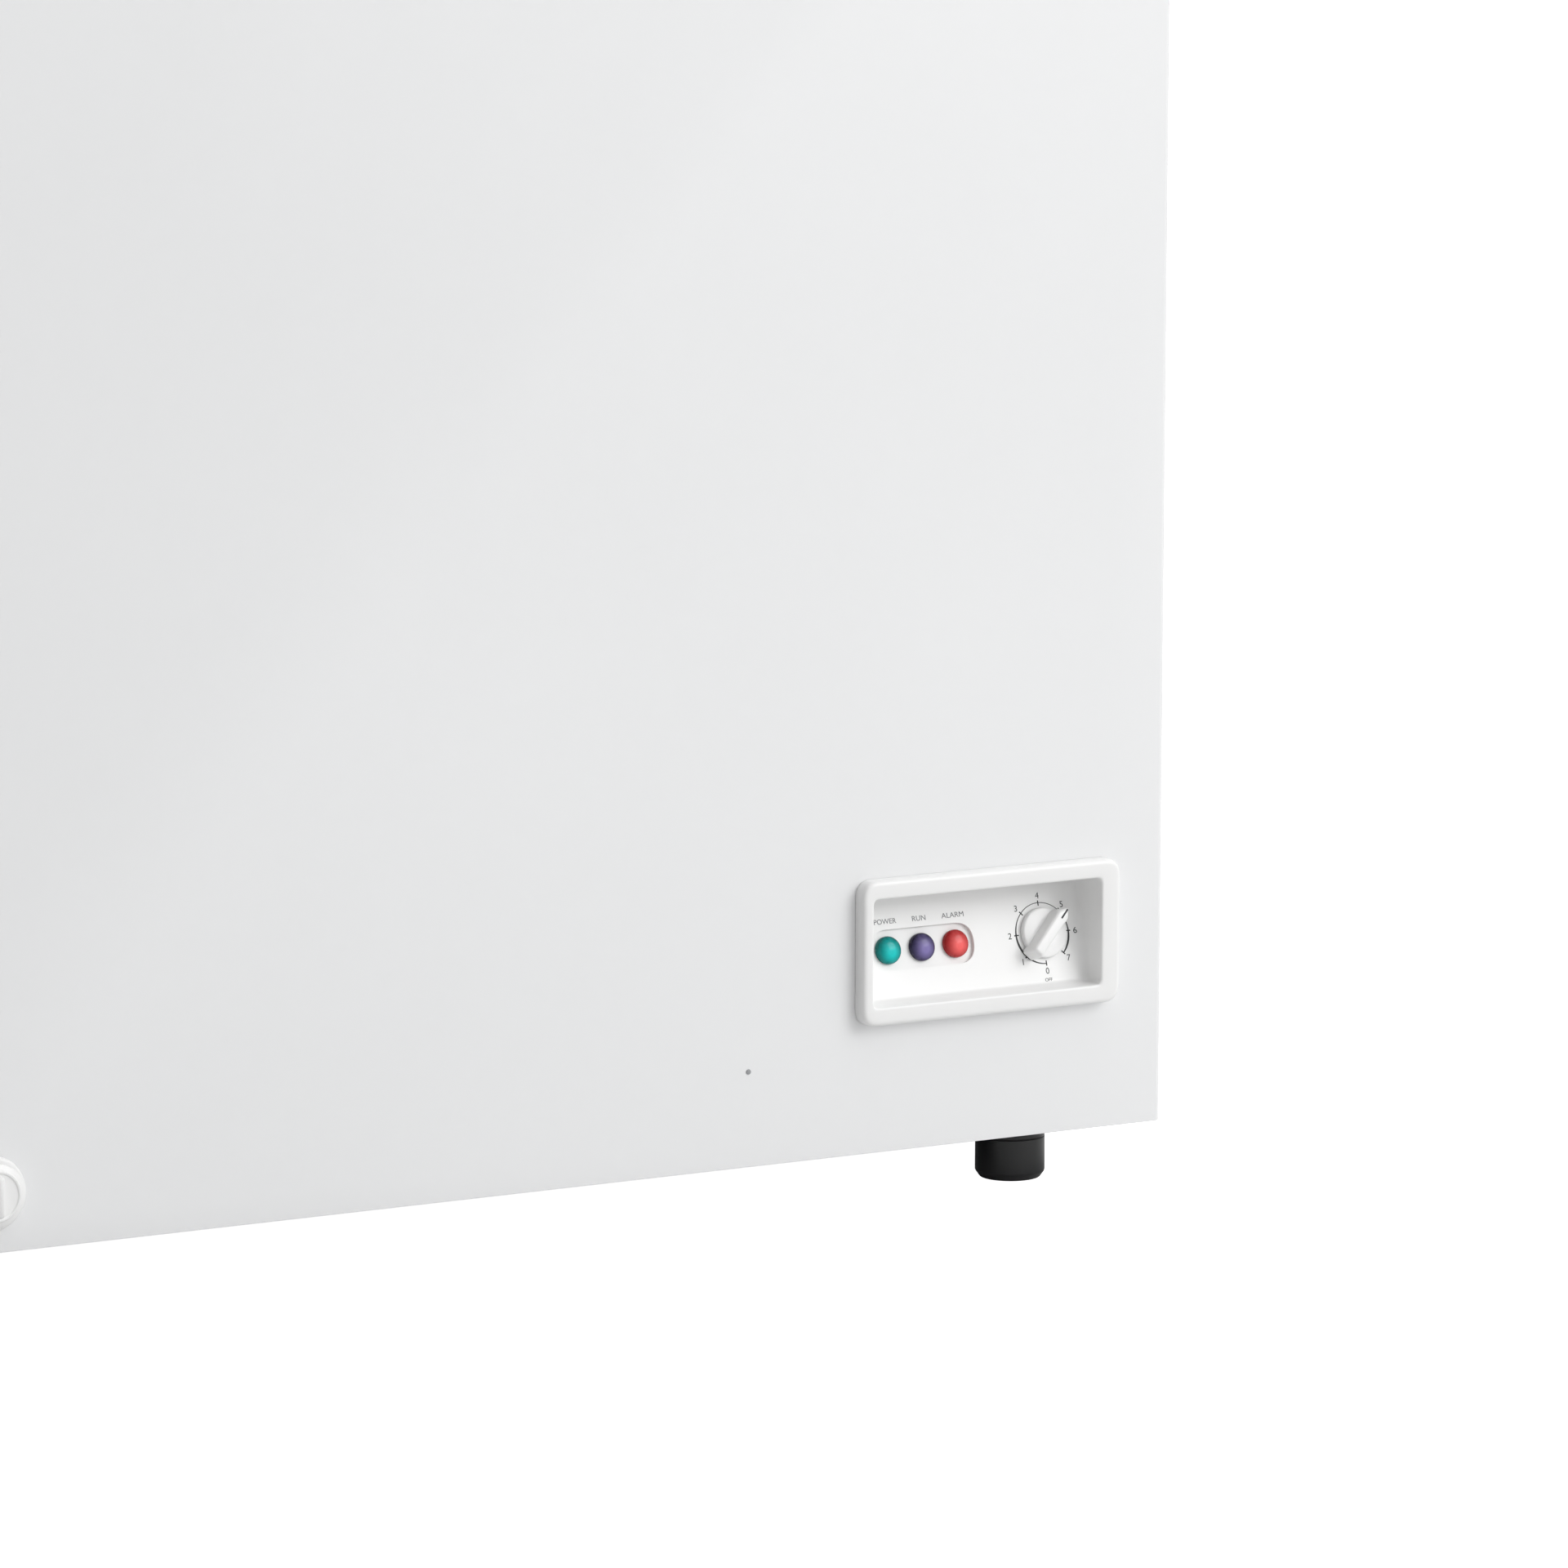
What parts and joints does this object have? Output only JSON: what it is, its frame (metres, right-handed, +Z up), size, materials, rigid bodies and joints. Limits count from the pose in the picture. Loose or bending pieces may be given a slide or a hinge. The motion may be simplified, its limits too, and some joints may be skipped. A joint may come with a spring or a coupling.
{
  "type": "chest freezer",
  "caption": "Small white chest freezer with a top-hinged insulated lid, a recessed front control panel with pilot lamps and a dial, a defrost drain and black levelling feet.",
  "frame": {"origin": "centre of the footprint on the floor", "axes": "+Z up, the lid opens upwards at the back (+Y), the control panel is on the front (-Y), +X to the right seen from the front"},
  "size_m": [0.826, 0.58, 0.85],
  "materials": {
    "cabinet_paint": "glossy white stoved enamel over pressed steel",
    "zinc_steel": "plain galvanised sheet steel",
    "liner_sheet": "embossed painted aluminium",
    "white_plastic": "smooth moulded white plastic",
    "foam": "rigid poured polyurethane foam",
    "copper": "drawn copper tube",
    "compressor_black": "black painted pressed steel",
    "bare_steel": "bare machined or drawn steel",
    "black_plastic": "black moulded plastic",
    "black_rubber": "black rubber",
    "gasket": "soft pale grey magnetic seal",
    "basket_wire": "white plastic coated steel wire",
    "green_lens": "translucent teal green lens",
    "blue_lens": "translucent dark blue violet lens",
    "red_lens": "translucent red lens"
  },
  "bodies": {
    "cabinet": {"outer_wrap": "cabinet_paint", "rear_panel": "cabinet_paint", "service_cover": "zinc_steel", "cord_gland": "black_rubber", "base_tray": "zinc_steel", "compressor_plate": "zinc_steel", "bay_wall": "zinc_steel", "inner_liner": "liner_sheet", "foam_body": "foam", "rim_trim": "white_plastic", "evaporator_coil": "copper", "condenser_coil": "copper", "compressor_lower_shell": "compressor_black", "compressor_dome": "compressor_black", "compressor_pump": "bare_steel", "compressor_grommet_1": "black_rubber", "compressor_grommet_2": "black_rubber", "compressor_grommet_3": "black_rubber", "compressor_grommet_4": "black_rubber", "start_relay": "black_plastic", "suction_tube": "copper", "discharge_tube": "copper", "filter_drier": "copper", "capillary_tube": "copper", "control_housing": "white_plastic", "lamp_green": "green_lens", "lamp_blue": "blue_lens", "lamp_red": "red_lens", "lamp_holder": "white_plastic", "thermostat": "bare_steel", "wiring_harness": "black_plastic", "drain_duct": "white_plastic", "hinge_base_left": "zinc_steel", "hinge_pin_left": "bare_steel", "hinge_spring_left": "bare_steel", "hinge_base_right": "zinc_steel", "hinge_pin_right": "bare_steel", "hinge_spring_right": "bare_steel"},
    "lid": {"lid_skin": "cabinet_paint", "lid_foam": "foam", "lid_liner": "white_plastic", "lid_gasket": "gasket", "lid_handle": "white_plastic", "hinge_arm_left": "zinc_steel", "hinge_arm_right": "zinc_steel"},
    "knob": {"thermostat_knob": "white_plastic", "thermostat_shaft": "bare_steel"},
    "spout": {"drain_spout": "white_plastic"},
    "dial": {"drain_dial": "white_plastic"},
    "plug": {"liner_plug": "black_rubber"},
    "basket": {"basket": "basket_wire"},
    "plunger_left": {"hinge_plunger_left": "white_plastic"},
    "plunger_right": {"hinge_plunger_right": "white_plastic"},
    "foot_front_left": {"foot_front_left": "black_plastic"},
    "foot_front_right": {"foot_front_right": "black_plastic"},
    "foot_rear_left": {"foot_rear_left": "black_plastic"},
    "foot_rear_right": {"foot_rear_right": "black_plastic"}
  },
  "joints": [
    {"name": "lid_hinge", "type": "hinge", "parent": "cabinet", "child": "lid", "pos_m": [0, 0.276, 0.798], "axis": [-1, 0, 0], "range_deg": [0, 80]},
    {"name": "plunger_slide_left", "type": "slide", "parent": "cabinet", "child": "plunger_left", "axis": [0, 0, 1], "range_m": [0, 0.0052], "deforming": ["hinge_spring_left"]},
    {"name": "plunger_slide_right", "type": "slide", "parent": "cabinet", "child": "plunger_right", "axis": [0, 0, 1], "range_m": [0, 0.0052], "deforming": ["hinge_spring_right"]},
    {"name": "thermostat_turn", "type": "hinge", "parent": "cabinet", "child": "knob", "pos_m": [0.3472, -0.24878, 0.12618], "axis": [0, 0.9598, -0.2807], "range_deg": [-225, 90]},
    {"name": "drain_pull", "type": "slide", "parent": "cabinet", "child": "spout", "axis": [0, -1, 0], "range_m": [0, 0.025]},
    {"name": "drain_dial_turn", "type": "hinge", "parent": "spout", "child": "dial", "pos_m": [-0.23, -0.2656, 0.057], "axis": [0, -1, 0], "range_deg": [0, 180]},
    {"name": "plug_lift", "type": "slide", "parent": "cabinet", "child": "plug", "axis": [0, 0, 1], "range_m": [0, 0.03]},
    {"name": "basket_slide", "type": "slide", "parent": "cabinet", "child": "basket", "axis": [1, 0, 0], "range_m": [-0.465, 0.003]},
    {"name": "foot_front_left_adjust", "type": "slide", "parent": "cabinet", "child": "foot_front_left", "axis": [0, 0, -1], "range_m": [0, 0.01]},
    {"name": "foot_front_right_adjust", "type": "slide", "parent": "cabinet", "child": "foot_front_right", "axis": [0, 0, -1], "range_m": [0, 0.01]},
    {"name": "foot_rear_left_adjust", "type": "slide", "parent": "cabinet", "child": "foot_rear_left", "axis": [0, 0, -1], "range_m": [0, 0.01]},
    {"name": "foot_rear_right_adjust", "type": "slide", "parent": "cabinet", "child": "foot_rear_right", "axis": [0, 0, -1], "range_m": [0, 0.01]}
  ],
  "couplings": [
    {"joint": "plunger_slide_left", "follows": "lid_hinge", "m_per_rad": 0.0036845},
    {"joint": "plunger_slide_right", "follows": "lid_hinge", "m_per_rad": 0.0036845}
  ]
}
